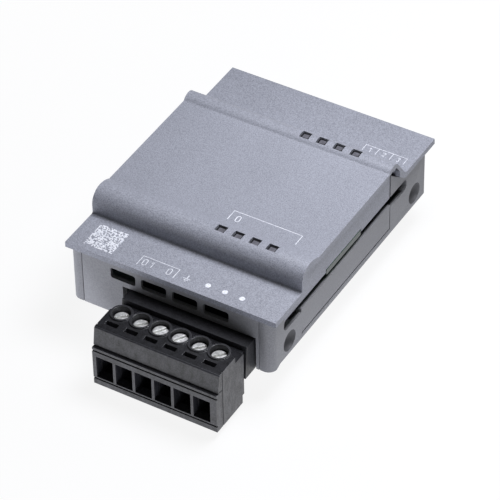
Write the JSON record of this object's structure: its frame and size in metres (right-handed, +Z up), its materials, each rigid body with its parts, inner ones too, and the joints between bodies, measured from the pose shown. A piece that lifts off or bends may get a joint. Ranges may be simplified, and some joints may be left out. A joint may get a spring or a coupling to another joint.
{
  "type": "clip-in signal board for a programmable controller",
  "caption": "Clip-in signal board: low stepped casing round a circuit board, rows of status lights, and a pull-off terminal plug whose screws raise clamp cages on the wires",
  "frame": {"origin": "Middle of the overall width and length, on the plane of the bus connector's lower end, which the part rests on", "axes": "+X across the front to the right as seen from the terminals, +Y from the terminals to the rear flange, +Z up, out of the stepped face"},
  "size_m": [0.038, 0.062, 0.021],
  "materials": {
    "cover_plastic": "moulded, fine even texture",
    "shell_plastic": "moulded, fine even texture",
    "terminal_plastic": "moulded, satin",
    "board_laminate": "woven laminate with green solder mask",
    "tinned_copper": "bright tinned",
    "screw_steel": "zinc plated",
    "clear_guide": "clear moulding, smooth",
    "lamp_resin": "cast resin",
    "gold_contact": "thin gold over nickel",
    "chip_resin": "moulded resin",
    "wound_core": "sintered and wound",
    "ceramic": "fired ceramic",
    "film_chip": "glazed film"
  },
  "bodies": {
    "casing": {"top_cover": "cover_plastic", "base_shell": "shell_plastic", "board_carrier": "shell_plastic", "circuit_board": "board_laminate", "terminal_header": "terminal_plastic", "header_pins": "tinned_copper", "light_guide_front": "clear_guide", "light_guide_rear": "clear_guide", "lamps_front": "lamp_resin", "lamps_rear": "lamp_resin", "bus_connector": "terminal_plastic", "bus_contacts": "gold_contact", "converter_chip": "chip_resin", "processor_chip": "chip_resin", "isolator_chips": "chip_resin", "power_transformer": "wound_core", "power_inductor": "wound_core", "capacitors": "ceramic", "resistors": "film_chip"},
    "plug": {"plug_housing": "terminal_plastic", "plug_wire_frame": "terminal_plastic", "plug_contacts": "tinned_copper"},
    "screw_1": {"clamp_screw_1": "screw_steel"},
    "cage_1": {"clamp_cage_1": "tinned_copper"},
    "screw_2": {"clamp_screw_2": "screw_steel"},
    "cage_2": {"clamp_cage_2": "tinned_copper"},
    "screw_3": {"clamp_screw_3": "screw_steel"},
    "cage_3": {"clamp_cage_3": "tinned_copper"},
    "screw_4": {"clamp_screw_4": "screw_steel"},
    "cage_4": {"clamp_cage_4": "tinned_copper"},
    "screw_5": {"clamp_screw_5": "screw_steel"},
    "cage_5": {"clamp_cage_5": "tinned_copper"},
    "screw_6": {"clamp_screw_6": "screw_steel"},
    "cage_6": {"clamp_cage_6": "tinned_copper"}
  },
  "joints": [
    {"name": "plug_slide", "type": "slide", "parent": "casing", "child": "plug", "axis": [0, -1, 0], "range_m": [0, 0.01]},
    {"name": "cage_rise_1", "type": "slide", "parent": "plug", "child": "cage_1", "axis": [0, 0, 1], "range_m": [0, 0.0018]},
    {"name": "screw_turn_1", "type": "hinge", "parent": "plug", "child": "screw_1", "pos_m": [-0.0053, -0.0255, 0.0107], "axis": [0, 0, 1], "range_deg": [-1621, 0.5]},
    {"name": "cage_rise_2", "type": "slide", "parent": "plug", "child": "cage_2", "axis": [0, 0, 1], "range_m": [0, 0.0018]},
    {"name": "screw_turn_2", "type": "hinge", "parent": "plug", "child": "screw_2", "pos_m": [-0.0018, -0.0255, 0.0107], "axis": [0, 0, 1], "range_deg": [-1621, 0.5]},
    {"name": "cage_rise_3", "type": "slide", "parent": "plug", "child": "cage_3", "axis": [0, 0, 1], "range_m": [0, 0.0018]},
    {"name": "screw_turn_3", "type": "hinge", "parent": "plug", "child": "screw_3", "pos_m": [0.0017, -0.0255, 0.0107], "axis": [0, 0, 1], "range_deg": [-1621, 0.5]},
    {"name": "cage_rise_4", "type": "slide", "parent": "plug", "child": "cage_4", "axis": [0, 0, 1], "range_m": [0, 0.0018]},
    {"name": "screw_turn_4", "type": "hinge", "parent": "plug", "child": "screw_4", "pos_m": [0.0052, -0.0255, 0.0107], "axis": [0, 0, 1], "range_deg": [-1621, 0.5]},
    {"name": "cage_rise_5", "type": "slide", "parent": "plug", "child": "cage_5", "axis": [0, 0, 1], "range_m": [0, 0.0018]},
    {"name": "screw_turn_5", "type": "hinge", "parent": "plug", "child": "screw_5", "pos_m": [0.0087, -0.0255, 0.0107], "axis": [0, 0, 1], "range_deg": [-1621, 0.5]},
    {"name": "cage_rise_6", "type": "slide", "parent": "plug", "child": "cage_6", "axis": [0, 0, 1], "range_m": [0, 0.0018]},
    {"name": "screw_turn_6", "type": "hinge", "parent": "plug", "child": "screw_6", "pos_m": [0.0122, -0.0255, 0.0107], "axis": [0, 0, 1], "range_deg": [-1621, 0.5]}
  ],
  "couplings": [
    {"joint": "screw_turn_1", "follows": "cage_rise_1", "rad_per_m": -15708},
    {"joint": "screw_turn_2", "follows": "cage_rise_2", "rad_per_m": -15708},
    {"joint": "screw_turn_3", "follows": "cage_rise_3", "rad_per_m": -15708},
    {"joint": "screw_turn_4", "follows": "cage_rise_4", "rad_per_m": -15708},
    {"joint": "screw_turn_5", "follows": "cage_rise_5", "rad_per_m": -15708},
    {"joint": "screw_turn_6", "follows": "cage_rise_6", "rad_per_m": -15708}
  ]
}
